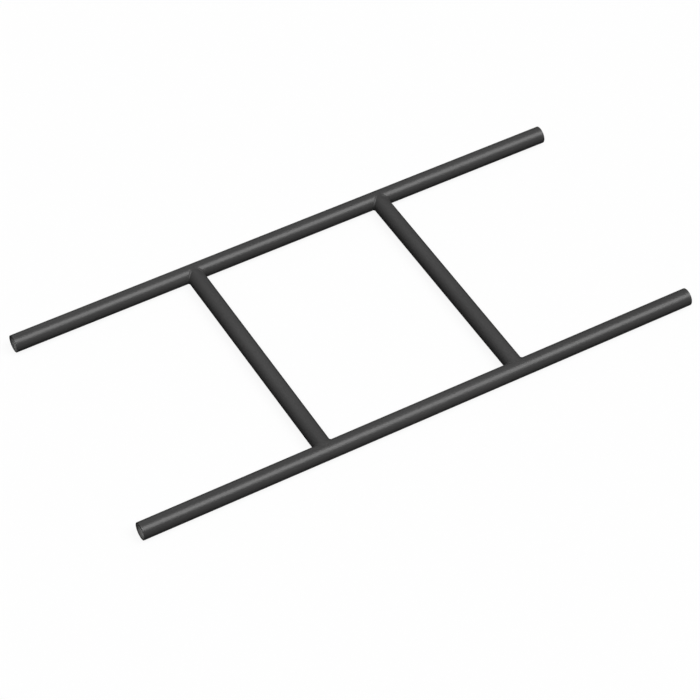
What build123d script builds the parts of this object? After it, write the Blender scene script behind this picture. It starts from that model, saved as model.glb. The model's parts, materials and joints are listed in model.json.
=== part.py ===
from build123d import *
import os

# A flat lighting truss section: two parallel chord tubes joined by two rung tubes, all of one
# outside diameter and all with their centre lines in one plane. It lies flat, with its chords
# along X and +Z up. The origin is on the surface that it lies on, midway between the chords and
# midway between their ends. +X is the front and +Y is the left. All sizes are in millimetres.

# Tube stock
tube_diameter = 48.3
tube_wall = 3.2
end_deburr = 0.5

# Frame
chord_length = 1625.0
chord_spacing = 725.0
rung_spacing = 570.0

# Fish-mouth cope: each rung's two tongues are ground back this far from the chord's centre line,
# because equal tubes would leave them with a knife edge there.
tongue_setback = 3.0

# Weld bead: a round of metal, mostly sunk in the two tubes. bead_sink_at_side is how far its
# middle lies inside each tube where the tubes meet square, and bead_cap is how far it stands
# above the tubes on the top and underside, where their surfaces run into each other.
bead_radius = 6.0
bead_sink_at_side = 2.5
bead_cap = 0.4

tube_radius = tube_diameter / 2
bore_radius = tube_radius - tube_wall
axis_height = tube_radius + bead_cap
chord_offset = chord_spacing / 2
rung_offset = rung_spacing / 2


def rod_along(axis, radius, length, centre):
    """A solid round bar, centred on a point, with its length along X or Y."""
    turn = Rotation(0, 90, 0) if axis == "X" else Rotation(90, 0, 0)
    return Pos(*centre) * turn * Cylinder(radius, length)


def chord_tube(side):
    """A straight tube with both ends cut square and their outer edges deburred."""
    centre = (0, side * chord_offset, axis_height)
    bar = rod_along("X", tube_radius, chord_length, centre)
    bar = chamfer(bar.edges().filter_by(GeomType.CIRCLE), end_deburr)
    return bar - rod_along("X", bore_radius, chord_length, centre)


def chord_envelopes():
    """The space that the two chords fill, as solid bars."""
    bars = []
    for side in (1, -1):
        centre = (0, side * chord_offset, axis_height)
        bars.append(rod_along("X", tube_radius, chord_length, centre))
    return bars


def rung_tube(end):
    """A tube across the frame, with both ends coped to sit on the chords."""
    centre = (end * rung_offset, 0, axis_height)
    length = chord_spacing - 2 * tongue_setback
    tube = rod_along("Y", tube_radius, length, centre) - rod_along("Y", bore_radius, length, centre)
    for bar in chord_envelopes():
        tube -= bar
    return tube


def weld_bead(end, side):
    """The bead around one joint, which follows the two half ellipses where the tubes meet."""
    joint = Vector(end * rung_offset, side * chord_offset, axis_height)
    reach = (tube_radius - bead_sink_at_side) * 2**0.5
    rise = tube_radius + bead_cap - bead_radius
    bead = None
    for across in (1, -1):
        # The tubes meet in an upright plane at 45 degrees to both.
        plane = Plane(origin=joint, x_dir=(across, -side, 0), z_dir=(side, across, 0))
        path = plane * EllipticalCenterArc((0, 0), reach, rise, start_angle=-90, arc_size=180)
        half = sweep(Plane(path @ 0, z_dir=path % 0) * Circle(bead_radius), path=path)
        bead = half if bead is None else bead + half
    for height in (rise, -rise):
        bead += Pos(joint + Vector(0, 0, height)) * Sphere(bead_radius)
    rung_centre = (end * rung_offset, 0, axis_height)
    bead -= rod_along("Y", tube_radius, chord_spacing - 2 * tongue_setback, rung_centre)
    for bar in chord_envelopes():
        bead -= bar
    return bead


parts = {
    "left_chord_tube": chord_tube(1),
    "right_chord_tube": chord_tube(-1),
    "front_rung_tube": rung_tube(1),
    "rear_rung_tube": rung_tube(-1),
}
for end_name, end in (("front", 1), ("rear", -1)):
    for side_name, side in (("left", 1), ("right", -1)):
        parts[f"{end_name}_{side_name}_weld"] = weld_bead(end, side)

os.makedirs("parts", exist_ok=True)
for name, shape in parts.items():
    shape.label = name
    export_step(shape, f"parts/{name}.step")
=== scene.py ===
import json
import math

import bmesh
import bpy
from mathutils import Matrix, Vector


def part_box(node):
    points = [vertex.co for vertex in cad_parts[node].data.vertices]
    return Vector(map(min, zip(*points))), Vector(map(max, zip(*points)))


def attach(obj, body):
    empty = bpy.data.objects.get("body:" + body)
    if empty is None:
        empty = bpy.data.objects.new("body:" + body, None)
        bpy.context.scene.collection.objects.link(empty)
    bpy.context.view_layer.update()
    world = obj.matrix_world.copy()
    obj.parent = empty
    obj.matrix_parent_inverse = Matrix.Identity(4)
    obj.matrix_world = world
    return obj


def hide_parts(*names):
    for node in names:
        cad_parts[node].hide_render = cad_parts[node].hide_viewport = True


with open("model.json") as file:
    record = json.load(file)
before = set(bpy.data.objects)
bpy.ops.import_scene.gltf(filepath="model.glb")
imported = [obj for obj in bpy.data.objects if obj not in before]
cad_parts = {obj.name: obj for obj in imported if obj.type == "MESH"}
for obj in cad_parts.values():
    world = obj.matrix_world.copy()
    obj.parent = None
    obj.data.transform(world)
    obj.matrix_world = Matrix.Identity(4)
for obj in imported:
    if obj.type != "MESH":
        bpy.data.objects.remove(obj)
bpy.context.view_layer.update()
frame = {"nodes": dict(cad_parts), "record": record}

# A flat lighting truss section, lying down: two chord tubes along X, two rung tubes along Y, and a
# weld bead round each of the four joints, all in satin charcoal powder coat.

MM = 0.001

# ---------------------------------------------------------------------------------------------
# Sizes and places, in metres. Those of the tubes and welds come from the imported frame.
# ---------------------------------------------------------------------------------------------
mounts = {mount["name"]: mount for mount in frame["record"]["mounts"]}
chord_end = Vector(mounts["left_front_bore"]["pos_m"])
BORE_RADIUS = mounts["left_front_bore"]["dims"]["r_mm"] * MM
HALF_LENGTH = chord_end.x
CHORD_Y = chord_end.y
AXIS_Z = chord_end.z
chord_points = frame["nodes"]["left_chord_tube"].data.vertices
TUBE_RADIUS = max(math.hypot(point.co.y - CHORD_Y, point.co.z - AXIS_Z) for point in chord_points)
rung_low, rung_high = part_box("front_rung_tube")
RUNG_X = (rung_low.x + rung_high.x) / 2
TONGUE_SETBACK = CHORD_Y - rung_high.y
weld_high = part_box("front_left_weld")[1]
WELD_LEG = weld_high.x - RUNG_X - TUBE_RADIUS
WELD_CAP = weld_high.z - AXIS_Z - TUBE_RADIUS

SIDES = {"left": 1, "right": -1}
ENDS = {"front": 1, "rear": -1}

# Cut edges of the chords, and how far wear and overspray reach from them
OUTER_EDGE_ROUND = 0.5 * MM
INNER_EDGE_ROUND = 0.35 * MM
RIM_WEAR_REACH = 1.5 * MM
OVERSPRAY_REACH = 13 * MM

# Weld beads: wide and full at the sides of the joint, narrow and flat over its top and bottom
CREST_LEG = 2.2 * MM
SIDE_BULGE = 0.39 * MM
CREST_CLEARANCE = 0.1 * MM
CREST_BULGE = WELD_CAP - CREST_CLEARANCE
APEX_ROUND = 2.6 * MM
TOE_SINK = 0.5 * MM
ROOT_DEPTH = 1.6 * MM
RIPPLE_PITCH = 2.3 * MM
RIPPLE_DEPTH = 0.17 * MM
RIPPLE_SWEEP = 0.35
RIPPLE_SHARPNESS = 1.5
CREST_WEAR = 0.15
TANGENT_STEP = 0.01

# Mesh fineness. The rings close to a tube's ends keep the shading of its long walls even.
ROUND_STEPS = 128
CORNER_STEPS = 5
COPE_STEPS = 4
WALL_STEPS = 16
WALL_END_DEPTHS = [depth * MM for depth in (1, 2, 3.5, 6, 10, 18, 35)]
BEAD_STEPS_ROUND = 720
BEAD_STEPS_ACROSS = 14

# ---------------------------------------------------------------------------------------------
# Materials
# ---------------------------------------------------------------------------------------------
COAT_DARK = (0.0505, 0.0500, 0.0500)
COAT_LIGHT = (0.0605, 0.0600, 0.0600)
RUBBED = (0.14, 0.14, 0.138)
# Bore metal: bare steel, made paler than its own tone so that it also paints in the light reaching into
# the bore (painted light).
METAL_WITH_PAINTED_LIGHT_DARK = (0.45, 0.45, 0.44)
METAL_WITH_PAINTED_LIGHT_PALE = (0.63, 0.63, 0.62)
ROUGH_LOW, ROUGH_HIGH = 0.32, 0.38
RUBBED_SMOOTHER = 0.06
BARE_ROUGHER = 0.15
SPECULAR = 0.42
PEEL_DEPTH = 0.16 * MM

# Noise patterns: the size of the marks, how many finer levels they have, and how strong those are
CLOUD = (110 * MM, 4.0, 0.55)
PEEL = (2.6 * MM, 2.0, 0.45)
SPECK = (1.1 * MM, 2.0, 0.6)
CHIP = (0.7 * MM, 3.0, 0.6)
GRAIN = (0.53 * MM, 2.0, 0.6)
MARK = (0.9 * MM, 3.0, 0.6)
CLOUD_STRETCH = 4
MARK_STRETCH = 25
CLOUD_SHARE = 0.75
PEEL_SHARE = 0.75

# The part of a noise's range that is spread over the whole range of what it steers
TONE_RANGE = (0.35, 0.65)
ROUGH_RANGE = (0.3, 0.7)
CHIP_RANGE = (0.52, 0.72)
MIST_RANGE = (0.3, 0.5)
BARE_UNDER_MIST = 0.82


class Shader:
    """A node material under construction. Its methods add nodes and give back their outputs."""

    def __init__(self, name):
        self.material = bpy.data.materials.new(name)
        self.material.use_nodes = True
        self.tree = self.material.node_tree
        self.surface = self.tree.nodes["Principled BSDF"]

    def node(self, kind, **values):
        """A new node, with its settings and its inputs' values given by name."""
        made = self.tree.nodes.new(kind)
        for key, value in values.items():
            if hasattr(made, key):
                setattr(made, key, value)
            else:
                made.inputs[key].default_value = value
        return made

    def link(self, source, target):
        self.tree.links.new(source, target)

    def stretched(self, place, scale):
        made = self.node("ShaderNodeMapping", Scale=scale)
        self.link(place, made.inputs["Vector"])
        return made.outputs["Vector"]

    def noise(self, place, pattern):
        size, detail, roughness = pattern
        made = self.node("ShaderNodeTexNoise", Scale=1 / size, Detail=detail, Roughness=roughness)
        self.link(place, made.inputs["Vector"])
        return made.outputs["Fac"]

    def painted(self, attribute):
        return self.node("ShaderNodeAttribute", attribute_name=attribute).outputs["Fac"]

    def spread(self, value, reach, onto=(0.0, 1.0)):
        """A value between the two ends of reach, moved to the same place between those of onto."""
        made = self.node("ShaderNodeMapRange")
        self.link(value, made.inputs["Value"])
        for key, number in zip(("From Min", "From Max", "To Min", "To Max"), (*reach, *onto)):
            made.inputs[key].default_value = number
        return made.outputs["Result"]

    def maths(self, operation, a, b):
        made = self.node("ShaderNodeMath", operation=operation)
        for socket, value in zip(made.inputs, (a, b)):
            if isinstance(value, (int, float)):
                socket.default_value = value
            else:
                self.link(value, socket)
        return made.outputs["Value"]

    def blend(self, a, b, share_of_a):
        """A mix of two values by fixed shares."""
        return self.maths(
            "ADD", self.maths("MULTIPLY", a, share_of_a), self.maths("MULTIPLY", b, 1 - share_of_a)
        )

    def mix_colour(self, factor, a, b):
        made = self.node("ShaderNodeMix", data_type="RGBA")
        self.link(factor, made.inputs["Factor"])
        colour_sockets = [socket for socket in made.inputs if socket.type == "RGBA"]
        for socket, value in zip(colour_sockets, (a, b)):
            if isinstance(value, tuple):
                socket.default_value = (*value, 1)
            else:
                self.link(value, socket)
        return next(socket for socket in made.outputs if socket.type == "RGBA")


def powder_coat(name, cloud_scale):
    """Satin charcoal powder coat: orange peel, faint cloudiness along the tube, thin pale edges.

    Two values painted on the mesh steer it: wear, where the coat is rubbed thin, and a second value,
    where only overspray reached and the metal under it shows. That metal is made paler than bare steel
    alone, so that it also stands for the light reaching into the bore: painted light. Only the chords'
    bores show that metal, so the marks that rolling left in the metal run along X.
    """
    shader = Shader(name)
    place = shader.node("ShaderNodeTexCoord").outputs["Object"]
    cloud = shader.noise(shader.stretched(place, cloud_scale), CLOUD)
    speck = shader.noise(place, SPECK)
    peel = shader.noise(place, PEEL)
    grain = shader.noise(place, GRAIN)
    chips = shader.spread(shader.noise(place, CHIP), CHIP_RANGE)
    worn = shader.maths("MULTIPLY", shader.painted("wear"), chips)
    bare_with_painted_light = shader.painted("bare_with_painted_light")

    tone = shader.spread(shader.blend(cloud, speck, CLOUD_SHARE), TONE_RANGE)
    coat = shader.mix_colour(worn, shader.mix_colour(tone, COAT_DARK, COAT_LIGHT), RUBBED)
    marks = shader.noise(shader.stretched(place, (1 / MARK_STRETCH, 1, 1)), MARK)
    # The bore's metal: pale partly from the bare steel's own tone and partly as painted light in the
    # bore.
    metal_with_painted_light = shader.mix_colour(shader.spread(marks, TONE_RANGE), METAL_WITH_PAINTED_LIGHT_DARK, METAL_WITH_PAINTED_LIGHT_PALE)
    between_specks = shader.spread(speck, MIST_RANGE, (BARE_UNDER_MIST, 1.0))
    metal_and_light_showing = shader.maths("MULTIPLY", bare_with_painted_light, between_specks)
    shader.link(shader.mix_colour(metal_and_light_showing, coat, metal_with_painted_light), shader.surface.inputs["Base Color"])

    rough = shader.spread(cloud, ROUGH_RANGE, (ROUGH_LOW, ROUGH_HIGH))
    rough = shader.maths("ADD", rough, shader.maths("MULTIPLY", worn, -RUBBED_SMOOTHER))
    rough = shader.maths("ADD", rough, shader.maths("MULTIPLY", bare_with_painted_light, BARE_ROUGHER))
    shader.link(rough, shader.surface.inputs["Roughness"])

    bump = shader.node("ShaderNodeBump", Strength=1.0, Distance=PEEL_DEPTH)
    shader.link(shader.blend(peel, grain, PEEL_SHARE), bump.inputs["Height"])
    shader.link(bump.outputs["Normal"], shader.surface.inputs["Normal"])
    shader.surface.inputs["Specular IOR Level"].default_value = SPECULAR
    return shader.material


coatings = {
    "chord_tube_coating": powder_coat("chord_tube_coating", (1 / CLOUD_STRETCH, 1, 1)),
    "rung_tube_coating": powder_coat("rung_tube_coating", (1, 1 / CLOUD_STRETCH, 1)),
    "weld_coating": powder_coat("weld_coating", (1, 1, 1)),
}


# ---------------------------------------------------------------------------------------------
# Pieces: each CAD node is replaced by a coated piece of the same shape with its finer detail
# ---------------------------------------------------------------------------------------------
def add_piece(node, slot, rings, paint, flat_strips=()):
    """Makes a closed mesh from rings of points, each joined to the next, and hands it to the frame.

    paint gives, for each value painted on the mesh, a list of numbers per ring. flat_strips are
    the places along a ring whose faces are shaded flat.
    """
    mesh = bmesh.new()
    layers = {key: mesh.verts.layers.float.new(key) for key in ("wear", "bare_with_painted_light")}
    rows = []
    for i, ring in enumerate(rings):
        row = [mesh.verts.new(point) for point in ring]
        for key, values in paint.items():
            for vert, value in zip(row, values[i]):
                vert[layers[key]] = value
        rows.append(row)
    for row, after in zip(rows, rows[1:] + rows[:1]):
        for j in range(len(row)):
            k = (j + 1) % len(row)
            face = mesh.faces.new((row[j], row[k], after[k], after[j]))
            face.smooth = j not in flat_strips
    bmesh.ops.recalc_face_normals(mesh, faces=mesh.faces)
    data = bpy.data.meshes.new(f"{node}_coated")
    mesh.to_mesh(data)
    mesh.free()
    data.materials.append(coatings[slot])
    piece = bpy.data.objects.new(f"{node}_coated", data)
    bpy.context.scene.collection.objects.link(piece)
    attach(piece, "root")
    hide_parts(node)


def rounded_corner(radius, along, corner, out_sign, first_is_wall):
    """Points of the quarter round that takes the edge off between a tube's wall and its end.

    out_sign is 1 at the outer wall and -1 at the bore.
    """
    points = []
    for i in range(CORNER_STEPS + 1):
        turn = math.pi / 2 * i / CORNER_STEPS
        turn = turn if first_is_wall else math.pi / 2 - turn
        sideways = out_sign * corner * (1 - math.cos(turn))
        points.append((radius - sideways, along - corner * (1 - math.sin(turn))))
    return points


def wall_places(half_length):
    """Places along a tube's wall, from one end to the other, closer together near its ends."""
    near = [half_length - depth for depth in WALL_END_DEPTHS]
    between = [near[-1] * (1 - i / WALL_STEPS) for i in range(1, WALL_STEPS)]
    half = near + between
    return [-along for along in half] + [0.0] + half[::-1]


def add_tube(node, slot, end_profile, cut_strips, place, painters):
    """A tube swept round its axis.

    end_profile(turn) is its +end as (radius, along) pairs, from the outer wall in to the bore;
    cut_strips says which strips between those pairs are cut faces; place(turn, radius, along)
    puts a point in the scene; painters say how to paint a (radius, along) pair.
    """
    rings = []
    for step in range(ROUND_STEPS):
        turn = 2 * math.pi * step / ROUND_STEPS
        profile = end_profile(turn)
        outer = [(TUBE_RADIUS, along) for along in wall_places(profile[0][1])]
        inner = [(BORE_RADIUS, -along) for along in wall_places(profile[-1][1])]
        section = outer + profile + inner + [(radius, -along) for radius, along in reversed(profile)]
        rings.append([place(turn, radius, along) for radius, along in section])
    paint = {key: [[value(*pair) for pair in section]] * ROUND_STEPS for key, value in painters.items()}
    flat_strips = {len(outer) + i for i in cut_strips} | {len(section) - 2 - i for i in cut_strips}
    add_piece(node, slot, rings, paint, flat_strips)


def chord_tube(node, side):
    """A straight tube, cut square, with the edges of both cuts rounded by filing and coating."""
    profile = rounded_corner(TUBE_RADIUS, HALF_LENGTH, OUTER_EDGE_ROUND, 1, True)
    profile += rounded_corner(BORE_RADIUS, HALF_LENGTH, INNER_EDGE_ROUND, -1, False)

    def place(turn, radius, along):
        return (along, side * CHORD_Y + radius * math.cos(turn), AXIS_Z + radius * math.sin(turn))

    def wear(radius, along):
        return math.exp((abs(along) - HALF_LENGTH) / RIM_WEAR_REACH)

    # Where the bore's pale metal shows, bare steel with painted light in its paleness, fading in past
    # the overspray.
    def bare_with_painted_light(radius, along):
        inside = radius < BORE_RADIUS + INNER_EDGE_ROUND / 2
        return min(1.0, (HALF_LENGTH - abs(along)) / OVERSPRAY_REACH) if inside else 0.0

    painters = {"wear": wear, "bare_with_painted_light": bare_with_painted_light}
    add_tube(node, "chord_tube_coating", lambda turn: profile, [CORNER_STEPS], place, painters)


def rung_tube(node, end):
    """A tube between the chords, each end coped to the chord's round wall."""

    def cope(turn):
        profile = []
        for i in range(COPE_STEPS + 1):
            radius = TUBE_RADIUS + (BORE_RADIUS - TUBE_RADIUS) * i / COPE_STEPS
            reach = math.sqrt(max(0.0, TUBE_RADIUS**2 - (radius * math.sin(turn)) ** 2))
            profile.append((radius, CHORD_Y - max(reach, TONGUE_SETBACK)))
        return profile

    def place(turn, radius, along):
        return (end * RUNG_X + radius * math.cos(turn), along, AXIS_Z + radius * math.sin(turn))

    add_tube(node, "rung_tube_coating", cope, range(COPE_STEPS), place, {})


def weld_line(turn):
    """Where a rung's wall runs into a chord's, as (across the rung, away from the chord, up).

    Its two halves would meet in a point at the top and bottom, so it is rounded there.
    """
    across = TUBE_RADIUS * math.cos(turn)
    away = math.hypot(across, APEX_ROUND * math.sin(turn))
    return Vector((across, away, TUBE_RADIUS * math.sin(turn)))


def on_chord(point):
    """The point moved square on to the chord's wall."""
    out = Vector((0, point.y, point.z)).normalized() * TUBE_RADIUS
    return Vector((point.x, out.y, out.z))


def on_rung(point):
    """The point moved square on to the rung's wall."""
    out = Vector((point.x, 0, point.z)).normalized() * TUBE_RADIUS
    return Vector((out.x, point.y, out.z))


def bead_section(turn, phase):
    """The bead's outline across its run, from toe to toe and under, and how worn each point is."""
    line = weld_line(turn)
    ahead = (weld_line(turn + TANGENT_STEP) - weld_line(turn - TANGENT_STEP)).normalized()
    chord_out = Vector((0, line.y, line.z)).normalized()
    rung_out = Vector((line.x, 0, line.z)).normalized()
    out = (chord_out + rung_out).normalized()
    over_chord = chord_out.cross(ahead)
    over_rung = ahead.cross(rung_out)
    crest_share = math.sin(turn) ** 4
    leg = WELD_LEG + (CREST_LEG - WELD_LEG) * crest_share
    bulge = SIDE_BULGE + (CREST_BULGE - SIDE_BULGE) * crest_share
    chord_toe = on_chord(line + over_chord * leg)
    rung_toe = on_rung(line + over_rung * leg)

    section = [chord_toe - chord_out * TOE_SINK + over_chord * TOE_SINK / 2]
    wear = [0.0]
    for i in range(BEAD_STEPS_ACROSS + 1):
        share = i / BEAD_STEPS_ACROSS
        crown = 1 - (2 * share - 1) ** 2
        wave = (1 + math.cos(phase - 2 * math.pi * RIPPLE_SWEEP * crown)) / 2
        dip = RIPPLE_DEPTH * crown * wave**RIPPLE_SHARPNESS
        section.append(chord_toe.lerp(rung_toe, share) + out * (bulge * crown - dip))
        wear.append(CREST_WEAR * crown)
    section += [rung_toe - rung_out * TOE_SINK + over_rung * TOE_SINK / 2, line - out * ROOT_DEPTH]
    return section, wear + [0.0, 0.0]


def weld_bead(node, end, side):
    """A coated bead round one joint, with the ripples of the weld pool showing through."""
    centre = Vector((end * RUNG_X, side * CHORD_Y, AXIS_Z))
    turns = [2 * math.pi * step / BEAD_STEPS_ROUND for step in range(BEAD_STEPS_ROUND)]
    travelled = [0.0]
    for turn, before in zip(turns[1:], turns):
        travelled.append(travelled[-1] + (weld_line(turn) - weld_line(before)).length)
    lap = travelled[-1] + (weld_line(0.0) - weld_line(turns[-1])).length
    ripples = round(lap / RIPPLE_PITCH)

    rings, wear = [], []
    for turn, along in zip(turns, travelled):
        section, section_wear = bead_section(turn, 2 * math.pi * ripples * along / lap)
        rings.append([centre + Vector((point.x, -side * point.y, point.z)) for point in section])
        wear.append(section_wear)
    add_piece(node, "weld_coating", rings, {"wear": wear})


for side_name, side in SIDES.items():
    chord_tube(f"{side_name}_chord_tube", side)
for end_name, end in ENDS.items():
    rung_tube(f"{end_name}_rung_tube", end)
    for side_name, side in SIDES.items():
        weld_bead(f"{end_name}_{side_name}_weld", end, side)

# ---------------------------------------------------------------------------------------------
# Stage: floor, backdrop, lights, sky, camera
# ---------------------------------------------------------------------------------------------
STAGE_RADIUS = 40.0
FAR_CLIP = 5 * STAGE_RADIUS
STAGE_ROUGHNESS = 0.9
FLOOR_COLOUR, FLOOR_GLOW = (0.09, 0.09, 0.09), 0.90
BACKDROP_COLOUR, BACKDROP_GLOW = (0.0, 0.0, 0.0), 0.985
FLOOR_STEPS = 96
DOME_STEPS_ROUND, DOME_STEPS_UP = 64, 32
SKY_STRENGTH = 0.12
WHITE = (1, 1, 1, 1)

# Softboxes: the direction that each shines from, the angle in degrees that it fills, and its
# strength. The one below stands in for light off the floor, which gives the truss none itself.
SOFTBOXES = {
    "key": ((0.35, -0.381, 0.856), 42, 1.99),
    "overhead": ((-0.30, -0.20, 0.93), 40, 1.07),
    "left_fill": ((-0.60, -0.45, 0.66), 40, 0.356),
    "back_fill": ((0.0, 0.90, 0.43), 40, 0.15),
    "floor_bounce": ((0.0, 0.0, -1.0), 80, 0.05),
}

# The camera looks down on the lying frame from the rear right.
VIEW_AZIMUTH = math.radians(-30.27)
VIEW_ELEVATION = math.radians(47.04)
VIEW_ROLL = math.radians(0.50)
VIEW_DISTANCE = 7.471
VIEW_AIM = Vector((-0.0603, -0.0891, AXIS_Z))
LENS_MM = 147.66
SENSOR_WIDTH_MM = 36.0


def stage_object(name, mesh, colour, glow):
    """A floor or backdrop that the camera sees, but that gives the truss no light or shadow."""
    paper = Shader(f"{name}_paper")
    paper.surface.inputs["Base Color"].default_value = (*colour, 1)
    paper.surface.inputs["Roughness"].default_value = STAGE_ROUGHNESS
    paper.surface.inputs["Specular IOR Level"].default_value = 0.0
    paper.surface.inputs["Emission Color"].default_value = WHITE
    paper.surface.inputs["Emission Strength"].default_value = glow
    data = bpy.data.meshes.new(name)
    mesh.to_mesh(data)
    mesh.free()
    data.materials.append(paper.material)
    made = bpy.data.objects.new(name, data)
    bpy.context.scene.collection.objects.link(made)
    made.visible_diffuse = False
    made.visible_glossy = False
    made.visible_shadow = False


def lay_floor():
    mesh = bmesh.new()
    bmesh.ops.create_circle(mesh, cap_ends=True, segments=FLOOR_STEPS, radius=STAGE_RADIUS)
    stage_object("floor", mesh, FLOOR_COLOUR, FLOOR_GLOW)


def hang_backdrop():
    mesh = bmesh.new()
    bmesh.ops.create_uvsphere(
        mesh, u_segments=DOME_STEPS_ROUND, v_segments=DOME_STEPS_UP, radius=STAGE_RADIUS
    )
    stage_object("backdrop", mesh, BACKDROP_COLOUR, BACKDROP_GLOW)


def place_softbox(name, direction, filled_angle, strength):
    lamp = bpy.data.lights.new(name, "SUN")
    lamp.angle = math.radians(filled_angle)
    lamp.energy = strength
    softbox = bpy.data.objects.new(name, lamp)
    softbox.rotation_euler = Vector(direction).to_track_quat("Z", "Y").to_euler()
    bpy.context.scene.collection.objects.link(softbox)


def paint_sky():
    """A white sky, dark at the horizon and brightest overhead."""
    world = bpy.data.worlds.new("studio")
    bpy.context.scene.world = world
    world.use_nodes = True
    nodes, links = world.node_tree.nodes, world.node_tree.links
    sky = nodes["Background"]
    sky.inputs["Color"].default_value = WHITE
    direction = nodes.new("ShaderNodeTexCoord")
    split = nodes.new("ShaderNodeSeparateXYZ")
    ramp = nodes.new("ShaderNodeMapRange")
    ramp.inputs["To Max"].default_value = SKY_STRENGTH
    links.new(direction.outputs["Generated"], split.inputs["Vector"])
    links.new(split.outputs["Z"], ramp.inputs["Value"])
    links.new(ramp.outputs["Result"], sky.inputs["Strength"])


def place_camera():
    to_camera = Vector(
        (
            math.cos(VIEW_ELEVATION) * math.sin(VIEW_AZIMUTH),
            -math.cos(VIEW_ELEVATION) * math.cos(VIEW_AZIMUTH),
            math.sin(VIEW_ELEVATION),
        )
    )
    data = bpy.data.cameras.new("camera")
    data.sensor_width = SENSOR_WIDTH_MM
    data.lens = LENS_MM
    data.clip_end = FAR_CLIP
    camera = bpy.data.objects.new("camera", data)
    camera.matrix_world = (
        Matrix.Translation(VIEW_AIM + to_camera * VIEW_DISTANCE)
        @ to_camera.to_track_quat("Z", "Y").to_matrix().to_4x4()
        @ Matrix.Rotation(VIEW_ROLL, 4, "Z")
    )
    bpy.context.scene.collection.objects.link(camera)
    bpy.context.scene.camera = camera


lay_floor()
hang_backdrop()
for name, (direction, filled_angle, strength) in SOFTBOXES.items():
    place_softbox(name, direction, filled_angle, strength)
paint_sky()
place_camera()
bpy.context.scene.view_settings.view_transform = "Standard"
